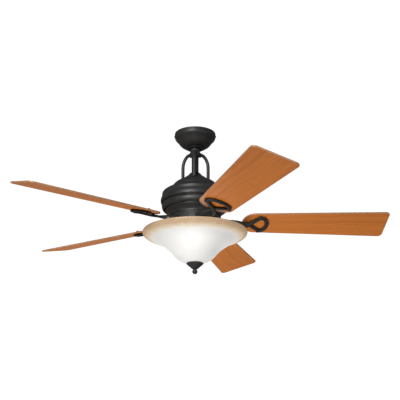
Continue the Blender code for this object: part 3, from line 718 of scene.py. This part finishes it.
def build_ball():
    """The ball, its nylon liner, and the cross pins at both ends of the rod."""
    inner, outer = BALL_RADIUS + 0.35 * MM, BALL_RADIUS + 2.0 * MM
    drops = [LINER_DEPTH * (10 - k) / 10 for k in range(11)]
    outline = [(math.sqrt(outer ** 2 - d ** 2), BALL_CENTRE - d) for d in reversed(drops)]
    outline += [(math.sqrt(inner ** 2 - d ** 2), BALL_CENTRE - d) for d in drops]
    half_slot = math.radians(50)
    mesh = partial_turned_mesh("liner", outline, math.pi / 2 + half_slot, 2 * math.pi - 2 * half_slot, 72)
    place("nylon_liner", mesh, "nylon", "liner", ["socket_liner"])
    widest = math.acos((ROD_RADIUS + 0.35 * MM) / BALL_RADIUS)
    outline = [(BALL_RADIUS * math.cos(a), BALL_CENTRE + BALL_RADIUS * math.sin(a))
               for a in (widest - 2 * widest * k / 28 for k in range(29))]
    mesh = turned_mesh("ball", outline, 96)
    slot = box_mesh("slot", (-30 * MM, -3.35 * MM, BALL_PIN_HEIGHT - 3.35 * MM), mm(30, 3.35, 4), 0.3 * MM, 2)
    place("ball_joint", cut(mesh, [slot]), "nylon", "hanging", ["hanger_ball"])
    for name, node, level, half in (("ball_cross_pin", "ball_pin", BALL_PIN_HEIGHT, 19),
                                    ("yoke_cross_pin", "yoke_pin", YOKE_PIN_HEIGHT, 22)):
        pin = in_metres([(0, -half), (2.4, -half), (3, 0.8 - half), (3, half - 0.8), (2.4, half), (0, half)])
        turned(name, pin, "zinc", "hanging", [node], 32, shift(0, 0, level) @ about("Y", math.pi / 2))


# ------------------------ rod, collar and arms

ROD_RADIUS = 12.7 * MM
ARM_COUNT = 3
FIRST_ARM = -93.5
ARM_RADIUS = 6 * MM
ARM_START = 18.85 * MM
ARM_CIRCLE = 53.5 * MM          # the arms' feet stand on this circle
ARM_TOP = BLADE_PLANE + 262.5 * MM
ARM_DROP = 48 * MM
ARM_FOOT = BLADE_PLANE + 155.2 * MM


def build_rod():
    top, bottom, bore = BALL_CENTRE + 19 * MM, BLADE_PLANE + 112 * MM, ROD_RADIUS - 2.4 * MM
    outline = filleted([(ROD_RADIUS, top), (ROD_RADIUS, bottom), (bore, bottom), (bore, top)], 0.5 * MM, 2)
    holes = [rod_between(3.35 * MM, (-30 * MM, 0, level), (30 * MM, 0, level))
             for level in (BALL_PIN_HEIGHT, YOKE_PIN_HEIGHT)]
    place("down_rod", cut(turned_mesh("rod", outline, 96), holes), "black_metal", "hanging", ["downrod"])
    collar = [(16.6, -57.5), (17.9, -58.3), (18.3, -59.6), (18.3, -68.2), (17.6, -69.4), (17.6, -70.4),
              (18.5, -71.6), (18.5, -80)]
    collar += curve([(18.5, -80.6), (17.6, -84.4), (15.6, -88), (14.4, -91), (14.0, -93)], 4)
    collar += [(13.05, -93), (13.05, -57.5)]
    turned("collar", filleted(in_metres(collar), 0.5 * MM, 2), "black_metal", "hanging", ["rod_collar"])


def build_arms():
    """Each arm: its bar, the disc at the collar, the small curl under it and the foot on the dome."""
    bend = ARM_START + 3 * MM
    reach = ARM_CIRCLE - bend
    low = ARM_TOP - ARM_DROP
    path = [(ARM_START, 0, ARM_TOP), (ARM_START + 1.5 * MM, 0, ARM_TOP)]
    for k in range(29):
        turn = math.pi / 2 * k / 28
        path.append((bend + reach * math.sin(turn), 0, ARM_TOP - ARM_DROP * (1 - math.cos(turn))))
    path += [(ARM_CIRCLE, 0, low + (ARM_FOOT + BAR_END - low) * k / 10) for k in range(1, 11)]
    bar = swept_mesh("arm", path, [(0, 1, 0)] * len(path), oval(2 * ARM_RADIUS, 2 * ARM_RADIUS, 24))
    root = in_metres([(0, -1.5), (6.6, -1.5), (7.4, -0.6), (7.4, 0.7), (6.4, 1.7), (0, 1.7)])
    disc = turned_mesh("root", filleted(root, 0.5 * MM, 2, closed=False), 32)
    disc.transform(shift(ARM_START + 1.2 * MM, 0, ARM_TOP) @ about("Y", math.pi / 2))
    bulge = [(3.6 * math.cos(0.4 * k), 3.4 * math.sin(0.4 * k)) for k in range(-3, 4)]
    curl = turned_mesh("curl", in_metres([(0, -3.4), *bulge, (0, 3.4)]), 24)
    curl.transform(shift(ARM_START + 1.6 * MM, 0, ARM_TOP - 8.6 * MM))
    sole = in_metres([(0, -1.2), (6.1, -1.2), (6.9, 0), (6.9, 1.6), (6.1, 2.8), (0, 2.8)])
    foot = turned_mesh("foot", filleted(sole, 0.5 * MM, 2, closed=False), 32)
    foot.transform(shift(ARM_CIRCLE, 0, ARM_FOOT + 1.2 * MM))
    arm = joined("arm", [bar, disc, curl, foot])
    for k in range(ARM_COUNT):
        turn = about("Z", math.radians(FIRST_ARM + 120 * k))
        place(f"curved_arm_{k + 1}", arm, "black_metal", "hanging", [f"scroll_arm_{k + 1}"], turn)


# ------------------------ motor housing and motor

COIL_COUNT = 18
COIL_SIDES = 216


def shell(name, node, profile, wall, sides=192):
    """A black wall turned from its outer profile in millimetres, with rounded lips."""
    outline = filleted(walled(above_blades(profile), wall * MM), 0.4 * MM, 2)
    turned(name, outline, "black_metal", "hanging", [node], sides)


def ring(name, node, outline, rounding, finish, body, sides, steps=2):
    """A ring turned from its closed outline in millimetres, with rounded corners."""
    turned(name, filleted(above_blades(outline), rounding * MM, steps), finish, body, [node], sides)


def build_housing():
    cover = curve([(14.8, 188), (19.6, 184.2), (22.4, 181), (24.8, 178), (31.2, 172), (37, 168.2),
                   (42.4, 163.8), (46, 159.2), (46.8, 156.2)], 4)
    shell("yoke_cover", "coupling_cover", cover, 1.4, 160)
    dome = [(24, 154.8), (49, 154.8)]
    dome += curve([(51, 154.8), (58, 154.1), (65.4, 150.2), (74, 144), (80.6, 136.4), (84.8, 130.8),
                   (86, 127.6)], 5)
    dome += [(85.4, 126.6), (84.4, 126.2)]
    dome += curve([(85.2, 125.6), (94, 122.2), (104, 118), (112, 113), (116.4, 109.6), (118.5, 106),
                   (118.8, 102), (118.9, 97)], 5)
    dome += curve([(119.4, 94.2), (121, 90), (122.8, 85.6), (123.7, 80), (123.2, 73.6), (121, 69.2)], 5)
    shell("dome", "housing_dome", dome, 1.6)
    band = [(117.2, 73), (117.4, 67.6)]
    band += curve([(118, 66.2), (119.5, 62.8), (119.6, 57.5), (118.2, 51), (116, 46.6), (111.8, 42.9)], 5)
    shell("ribbed_band", "housing_band", band, 1.6)
    skirt = [(107.4, 46.4), (107.6, 41.4)]
    skirt += curve([(107.4, 40.2), (106.4, 38.8), (104, 37), (100.2, 33.8), (96.6, 29.6), (94, 25.6),
                    (92.8, 22), (92.6, 19.1)], 5)
    shell("skirt", "housing_skirt", skirt, 1.6)


def coil_mesh(low, high):
    """A ring of copper between two heights in millimetres, with a lump for each coil."""
    bm = bmesh.new()
    rows = []
    for j in range(16):
        a = 2 * math.pi * j / 16
        row = []
        for k in range(COIL_SIDES):
            b = 2 * math.pi * k / COIL_SIDES
            lump = 0.90 + 0.10 * abs(math.cos(b * COIL_COUNT / 2))
            radius = (56 + 9 * math.cos(a) * lump) * MM
            height = (low + high) / 2 + (high - low) / 2 * math.sin(a) * lump
            row.append(bm.verts.new((radius * math.cos(b), radius * math.sin(b), BLADE_PLANE + height * MM)))
        rows.append(row)
    bridge(bm, rows + rows[:1])
    return finished_mesh(bm, "coil", 60)


def build_motor():
    yoke = [(20, 152.4), (30, 152.4), (30, 149.4), (20, 149.4), (20, 96), (34, 94), (34, 90), (12, 90),
            (9.2, 90), (9.2, 110), (13.1, 110), (13.1, 152.4)]
    ring("yoke", "motor_yoke", yoke, 0.8, "zinc", "hanging", 96)
    ring("shaft", "motor_shaft", [(8.5, -17), (8.5, 109), (5.5, 109), (5.5, -17)], 0.5, "zinc", "hanging", 64)
    dress_cad("stator_core", "lamination")
    for label, low, high in (("lower", 12, 21.6), ("upper", 46.4, 56)):
        place(f"coil_{label}", coil_mesh(low, high), "copper", "hanging", [f"winding_{label}"])
    lower = [(91, -3.4), (19.4, -3.4), (19.4, 8.6), (21.6, 8.6), (21.6, 1), (86, 1), (86, 31.6), (90, 31.6),
             (90, 3.6), (91, 2)]
    ring("case_lower", "rotor_case_lower", lower, 0.7, "black_metal", "rotor", 160)
    upper = [(90, 32), (86, 32), (86, 61), (21.6, 61), (21.6, 57), (19.4, 57), (19.4, 68), (30, 68),
             (34, 64.5), (86, 64.5), (90, 61)]
    ring("case_upper", "rotor_case_upper", upper, 0.7, "black_metal", "rotor", 160)
    stack = [(85.4, 48), (85.4, 20), (72, 20), (72, 48)]
    ring("rotor_laminations", "rotor_ring", stack, 0.4, "lamination", "rotor", 128)
    for label, low in (("lower", 1), ("upper", 57.4)):
        high = low + 8
        race = [(19, low), (19, high), (16.2, high), (15.8, low + 7.4), (12.2, low + 7.4), (11.8, high),
                (9, high), (9, low), (11.8, low), (12.2, low + 0.6), (15.8, low + 0.6), (16.2, low)]
        ring(f"bearing_{label}", f"{label}_bearing", race, 0.3, "zinc", "rotor", 96)


# ------------------------ blades

BLADE_ROOT = 168 * MM
SWEEP_RADIUS = 686 * MM
ROOT_HALF_WIDTH = 60.5 * MM
TIP_HALF_WIDTH = 78.7 * MM
ROOT_CORNER = 46 * MM
TIP_CORNER = 17 * MM
BLADE_THICKNESS = 5.6 * MM
BLADE_SCREWS = [mm(256, 0), mm(228, 41.5), mm(228, -41.5)]
BLADE_TURNS = [FIRST_BLADE + 2 * math.pi * k / BLADE_COUNT for k in range(BLADE_COUNT)]


def corner(centre_x, centre_y, radius_x, radius_y, first, last, steps):
    """An arc of an ellipse between two angles in degrees."""
    points = []
    for k in range(steps + 1):
        angle = math.radians(first + (last - first) * k / steps)
        points.append((centre_x + radius_x * math.cos(angle), centre_y + radius_y * math.sin(angle)))
    return points


def blade_outline(inset=0.0):
    """The blade's outline, from its tip round to its root and back, moved inwards by the inset."""
    tall_corner = 1.25 * ROOT_CORNER
    half = corner(SWEEP_RADIUS - TIP_CORNER, TIP_HALF_WIDTH - TIP_CORNER, TIP_CORNER - inset,
                  TIP_CORNER - inset, 0, 88, 10)
    root = corner(BLADE_ROOT + ROOT_CORNER, ROOT_HALF_WIDTH - tall_corner, ROOT_CORNER - inset,
                  tall_corner - inset, 92, 180, 22)
    first, last = Vector(half[-1]), Vector(root[0])
    half += [tuple(first.lerp(last, k / 24)) for k in range(1, 24)] + root
    return half + [(x, -y) for x, y in reversed(half)]


def blade_mesh():
    """A flat blade with rounded edges. Its rim attribute is 1 at the edge and 0 inside."""
    half = BLADE_THICKNESS / 2
    lower = [(3.4, 1, 0.0), (1.9, 1, 0.35), (0.9, 1, 1.0), (0.25, 0.80, 1.0), (0.0, 0.45, 1.0)]
    loops = [(inset * MM, -level * half, share) for inset, level, share in lower]
    loops += [(inset, -height, share) for inset, height, share in reversed(loops)]
    bm = bmesh.new()
    rim = bm.verts.layers.float.new("rim")
    rings = []
    for inset, height, share in loops:
        loop = []
        for x, y in blade_outline(inset):
            vert = bm.verts.new((x, y, height))
            vert[rim] = share
            loop.append(vert)
        rings.append(loop)
    bridge(bm, rings)
    bm.faces.new(rings[0][::-1])
    bm.faces.new(rings[-1])
    bmesh.ops.remove_doubles(bm, verts=bm.verts, dist=1e-7)
    return finished_mesh(bm, "blade_board", 60)


def build_blades():
    tools = [rod_between(2.4 * MM, (x, y, -9 * MM), (x, y, 9 * MM), 16) for x, y in BLADE_SCREWS]
    blade = cut(blade_mesh(), tools)
    screw = screw_mesh("blade_screw", 5.2, 3.0, 2.0, 9.5)
    outline = in_metres([(2.3, 0.1), (6.6, 0.1), (6.6, 1.0), (2.3, 1.0)])
    washer = turned_mesh("washer", filleted(outline, 0.3 * MM, 2), 32)
    number = 1
    for k, turn in enumerate(BLADE_TURNS):
        home = shift(0, 0, BLADE_PLANE) @ about("Z", turn) @ about("X", -BLADE_PITCH)
        place(f"wood_blade_{k + 1}", blade, "wood", "rotor", [f"blade_{k + 1}"], home)
        for x, y in BLADE_SCREWS:
            spot = home @ shift(x, y, BLADE_THICKNESS / 2)
            place(f"blade_washer_{number}", washer, "black_metal", "rotor", matrix=spot)
            head = spot @ shift(0, 0, 1.1 * MM) @ about("X", math.pi) @ about("Z", 0.7 * number)
            place(f"blade_screw_{number}", screw, "black_metal", "rotor", matrix=head)
            number += 1


# ------------------------ blade irons

LOOP_START = 190 * MM
LOOP_END = 256 * MM
LOOP_HALF_WIDTH = 42 * MM
LOOP_CENTRE = LOOP_START + 40 * MM
BAR_WIDTH = 14.5 * MM
BAR_THICKNESS = 8 * MM
IRON_SEAT = -(BLADE_THICKNESS + BAR_THICKNESS) / 2 - 0.45 * MM
FLANGE_HALF_ANGLE = math.radians(34.9)
IRON_SCREW_SPOTS = [mm(80, -20), mm(80, 20)]


def iron_path():
    """The bar's middle line and its up vectors: from the flange out, round the loop, and back over itself."""
    flange_z, pass_drop = -1 * MM, 4 * MM
    plan = [(*mm(x, y), dip) for x, y, dip in ((90.5, 24, 0), (135, 20, 0.3), (165, 11, 0.7), (190, 0, 1),
                                               (207, -17, 0.5), (222, -33, 0.1))]
    for degrees in (-80, -48, -16, 16, 48, 80):
        angle = math.radians(degrees)
        x = LOOP_CENTRE + (LOOP_END - LOOP_CENTRE) * math.cos(angle)
        plan.append((x, LOOP_HALF_WIDTH * math.sin(angle), 0))
    plan += [(*mm(x, y), 0) for x, y in ((222, 33), (207, 17), (190, 0), (165, -11), (135, -20), (90.5, -24))]
    rise, fall = 100 * MM, 172 * MM
    points, ups = [], []
    for x, y, dip in plan:
        share = min(max((x - rise) / (fall - rise), 0), 1)
        share = share * share * (3 - 2 * share)
        pitch = -BLADE_PITCH * share
        level = flange_z * (1 - share) + IRON_SEAT * share - pass_drop * dip
        normal = Vector((0, -math.sin(pitch), math.cos(pitch)))
        points.append(Vector((x, y * math.cos(pitch), y * math.sin(pitch))) + normal * level)
        ups.append(normal)
    return [Vector(p) for p in curve(points, 7)], [Vector(u).normalized() for u in curve(ups, 7)]


def melted(mesh, voxel, smoothing):
    """One skin round overlapping shapes, with soft joins as in a casting."""
    draft = added("draft", mesh)
    remesh = draft.modifiers.new("skin", "REMESH")
    remesh.mode = "VOXEL"
    remesh.voxel_size = voxel
    smooth = draft.modifiers.new("smooth", "CORRECTIVE_SMOOTH")
    smooth.iterations = smoothing
    smooth.use_only_smooth = True
    smooth.factor = 0.5
    return applied(draft)


def iron_mesh():
    """The looped bar, the curved flange on the motor and a boss under each blade screw, cast as one."""
    path, ups = iron_path()
    bar = swept_mesh("bar", path, ups, oval(BAR_WIDTH, BAR_THICKNESS, 16, 2.6))
    section = in_metres([(94.5, 14), (94.5, -10), (66, -10), (66, -4), (91.9, -4), (91.9, 14)])
    flange = partial_turned_mesh("flange", filleted(section, 1.1 * MM, 3), -FLANGE_HALF_ANGLE,
                                 2 * FLANGE_HALF_ANGLE, 40)
    outline = filleted(in_metres([(0, -4.6), (7.4, -4.6), (8.0, 3.9), (0, 3.9)]), 1.5 * MM, 3, closed=False)
    bosses = [moved(turned_mesh("boss", outline, 32), about("X", -BLADE_PITCH) @ shift(x, y, IRON_SEAT))
              for x, y in BLADE_SCREWS]
    iron = melted(joined("iron", [bar, flange, *bosses], 50), 1.15 * MM, 3)
    holes = [rod_between(2.6 * MM, (x, y, -30 * MM), (x, y, 10 * MM), 16) for x, y in IRON_SCREW_SPOTS]
    return cut(iron, holes)


def build_irons():
    iron = iron_mesh()
    screw = screw_mesh("iron_screw", 4.8, 3.2, 2.3, 9)
    number = 1
    for k, turn in enumerate(BLADE_TURNS):
        home = shift(0, 0, BLADE_PLANE) @ about("Z", turn)
        place(f"iron_{k + 1}", iron, "cast_metal", "rotor", [f"blade_iron_{k + 1}"], home)
        for x, y in IRON_SCREW_SPOTS:
            spot = home @ shift(x, y, -10.2 * MM) @ about("Z", 0.9 * number)
            place(f"iron_screw_{number}", screw, "zinc", "rotor", matrix=spot)
            number += 1


# ------------------------ light kit

BULB_TURNS = [math.radians(-90) + 2 * math.pi * k / 3 for k in range(3)]
SOCKET_HEIGHT = BLADE_PLANE - 58 * MM
GLOW = 0.54                     # painted glow of the glass, by emission: near the lamps, everywhere, and at the stained rim
GLOW_BASE = 0.11
RIM_GLOW = 0.33
LAMP_REACH = 62 * MM            # how far a lamp's painted glow spreads in the glass


def build_switch_housing():
    outline = above_blades([(8.85, -12), (46, -12), (50, -15), (50, -33.6), (48.6, -33.6), (48.6, -15.8),
                            (45.2, -13.4), (8.85, -13.4)])
    cup = turned_mesh("switch_cup", filleted(outline, 0.8 * MM, 3), 128)
    window = box_mesh("window", in_fan(42, -8, -27), in_fan(60, 8, -19), 0.6 * MM, 2)
    place("switch_cup", cut(cup, [window]), "black_metal", "hanging", ["switch_housing"])
    can = box_mesh("capacitor", in_fan(-40, -16, -31), in_fan(-18, 16, -15), 1.6 * MM, 4)
    place("capacitor_case", can, "plastic", "hanging", ["capacitor"])
    base = box_mesh("switch_base", in_fan(30, -11, -30), in_fan(43.5, 11, -16), 0.8 * MM, 3)
    place("switch_block", base, "plastic", "hanging", ["reverse_switch_base"])
    knob = box_mesh("slider", in_fan(44, -6.5, -25.6), in_fan(53.5, -1.5, -20.4), 0.7 * MM, 3)
    grooves = [box_mesh("groove", in_fan(52.9, 1.1 * k - 5.6, -26.6), in_fan(55, 1.1 * k - 5.2, -18.6),
                        0.05 * MM, 1) for k in range(3)]
    place("slider_knob", cut(knob, grooves), "plastic", "reverse_slider", ["reverse_slider"])


def build_light_fitter():
    """The plate under the switch housing, with vents, and a tab for each lamp socket."""
    outline = above_blades([(56, -34), (56, -36), (5.2, -36), (5.2, -34)])
    plate = turned_mesh("plate", filleted(outline, 0.6 * MM, 2), 128)
    tabs = [moved(box_mesh("tab", in_fan(23, -12, -72), in_fan(25, 12, -35), 0.5 * MM, 2), about("Z", turn))
            for turn in BULB_TURNS]
    vents = []
    for n in range(9):
        angle = math.radians(20 + 40 * n)
        x, y = 40 * math.cos(angle), 40 * math.sin(angle)
        vents.append(rod_between(2.6 * MM, in_fan(x, y, -40), in_fan(x, y, -30), 20))
    place("fitter_plate", joined("fitter", [cut(plate, vents), *tabs]), "black_metal", "hanging",
          ["light_fitter"])


def threaded_rod_mesh(radius, low, high, pitch, sides=20):
    bm = bmesh.new()
    steps = int((high - low) / pitch * 5)
    rings = []
    for j in range(steps + 1):
        z = low + (high - low) * j / steps
        loop = []
        for k in range(sides):
            a = 2 * math.pi * k / sides
            valley = abs(2 * ((z / pitch + k / sides) % 1) - 1)
            r = radius - 0.55 * MM * valley
            loop.append(bm.verts.new((r * math.cos(a), r * math.sin(a), z)))
        rings.append(loop)
    bridge(bm, rings)
    bm.faces.new(rings[0][::-1])
    bm.faces.new(rings[-1])
    return finished_mesh(bm, "thread", 50)


def build_lamps():
    """Each lamp lies along Z from its socket's back, and is then turned outwards."""
    socket = in_metres([(0, 25.4), (16.2, 25.4), (17, 26.4), (17.4, 31), (18, 33), (18, 48.4), (17.2, 50.6),
                        (16.4, 51), (15.5, 50.4), (15.5, 31), (0, 31)])
    bulb = curve([(13.1, 57), (14.2, 60.5), (16.8, 67), (20.2, 76), (22.8, 85), (23.9, 93), (24, 98),
                  (23.4, 104), (21.2, 110.2), (17.2, 116), (11.4, 120.2), (5.4, 121.7)], 4)
    bulb = in_metres([(0, 56), (12.9, 56), *bulb, (0, 122)])
    base = [(0, 33), (4.5, 33), (5.2, 34), (11.4, 36.2), (12.6, 37.4)]
    for n in range(5):
        z = 38.6 + 3.2 * n
        base += [(12.5, z), (13.0, z + 0.8), (13.0, z + 1.6), (12.3, z + 2.6)]
    base = in_metres([*base, (12.9, 55.8), (0, 55.8)])
    for k, turn in enumerate(BULB_TURNS):
        home = shift(0, 0, SOCKET_HEIGHT) @ about("Z", turn) @ about("Y", math.pi / 2)
        turned(f"socket_{k + 1}", filleted(socket, 0.6 * MM, 2, closed=False), "porcelain", "hanging",
               [f"lamp_socket_{k + 1}"], 64, home)
        turned(f"bulb_envelope_{k + 1}", bulb, "bulb_glass", "hanging", [f"bulb_{k + 1}"], 64, home)
        turned(f"bulb_base_{k + 1}", base, "brass", "hanging", sides=48, matrix=home, angle=60)


BOWL_PROFILE = [(185.2, -35.6), (186.8, -38.4), (186.3, -42), (184, -46.6), (179.2, -50.8), (173, -53.6),
                (165.4, -56.3), (157.6, -58.9), (150, -61.8), (143, -65), (136, -69.2), (129, -74.2),
                (121.6, -79.2), (114.6, -84.4), (108, -89.2), (101.4, -94.2), (95, -99.4), (89, -105),
                (83.4, -111), (78.4, -117), (74, -122.4), (69, -127.8), (63.6, -132.8), (57.9, -137),
                (51.4, -141.2), (44.6, -144.8), (38.8, -147.5), (33, -149.5), (20, -151.4), (6, -152)]
BOWL_WALL = 4 * MM
STAIN_START, STAIN_WIDTH = 138, 42      # the stain grows from this radius, over this width, in millimetres


def bowl_glow(point):
    """How bright the painted glow of the lamps is on the glass there."""
    total = 0.0
    for turn in BULB_TURNS:
        lamp = Vector((92 * MM * math.cos(turn), 92 * MM * math.sin(turn), SOCKET_HEIGHT - 8 * MM))
        total += 1 / ((point - lamp).length_squared + LAMP_REACH ** 2)
    return total * LAMP_REACH ** 2


def build_bowl():
    """The glass bowl with its stain and painted-glow attributes, and what it hangs on."""
    outer = above_blades(curve(BOWL_PROFILE, 2))
    mesh = turned_mesh("bowl", filleted(walled(outer, BOWL_WALL), 1.8 * MM, 4), 192, 60)
    stain = mesh.attributes.new("stain", "FLOAT", "POINT")
    glow = mesh.attributes.new("glow", "FLOAT", "POINT")
    for n, vert in enumerate(mesh.vertices):
        radius = math.hypot(vert.co.x, vert.co.y) / MM
        share = min(max((radius - STAIN_START) / STAIN_WIDTH, 0), 1)
        stain.data[n].value = share
        # painted glow: brighter near each lamp, a little everywhere, and more at the stained rim
        glow.data[n].value = GLOW * bowl_glow(vert.co) + GLOW_BASE + RIM_GLOW * share
    place("bowl_glass", mesh, "etched_glass", "bowl", ["glass_bowl"])
    washer = [(14, -144.4), (14, -146.8), (5.5, -146.8), (5.5, -144.4)]
    ring("rubber_washer", "bowl_washer", washer, 0.6, "rubber", "bowl", 48, 3)
    thread = threaded_rod_mesh(4.8 * MM, BLADE_PLANE - 163 * MM, BLADE_PLANE - 30 * MM, 1.6 * MM)
    place("threaded_rod", thread, "zinc", "hanging", ["centre_rod"])


def build_finial():
    cap = [(29, -150.9), (30.2, -151.9)]
    cap += curve([(29.9, -153.4), (26.4, -156.8), (20.2, -162), (15.4, -166.4), (12, -169.4)], 5)
    cap += [(8.6, -171.8), (7.2, -172.2), (5.4, -172.2), (5.4, -167.6), (17, -159), (26.6, -153)]
    ring("finial_cone", "finial_cap", cap, 0.6, "black_metal", "finial", 128, 3)
    knob = [(0, -167), (4.4, -167), (5.1, -172.6), (6.4, -173), (6.3, -174)]
    knob += curve([(6.6, -174.6), (8.0, -176.2), (9.3, -179.4), (9.2, -182.8), (7.9, -186.2), (5, -188.9),
                   (2.2, -190.1)], 5)
    knob = filleted(above_blades([*knob, (0, -190.3)]), 0.5 * MM, 3, closed=False)
    turned("finial_ball", knob, "black_metal", "finial", ["finial_knob"], 64)


# ------------------------ the scene

bpy.context.scene.view_settings.view_transform = "Standard"
for build in (make_camera, make_world, make_lights, make_floor, build_canopy, build_receiver, build_ball,
              build_rod, build_arms, build_housing, build_motor, build_blades, build_irons,
              build_switch_housing, build_light_fitter, build_lamps, build_bowl, build_finial):
    build()
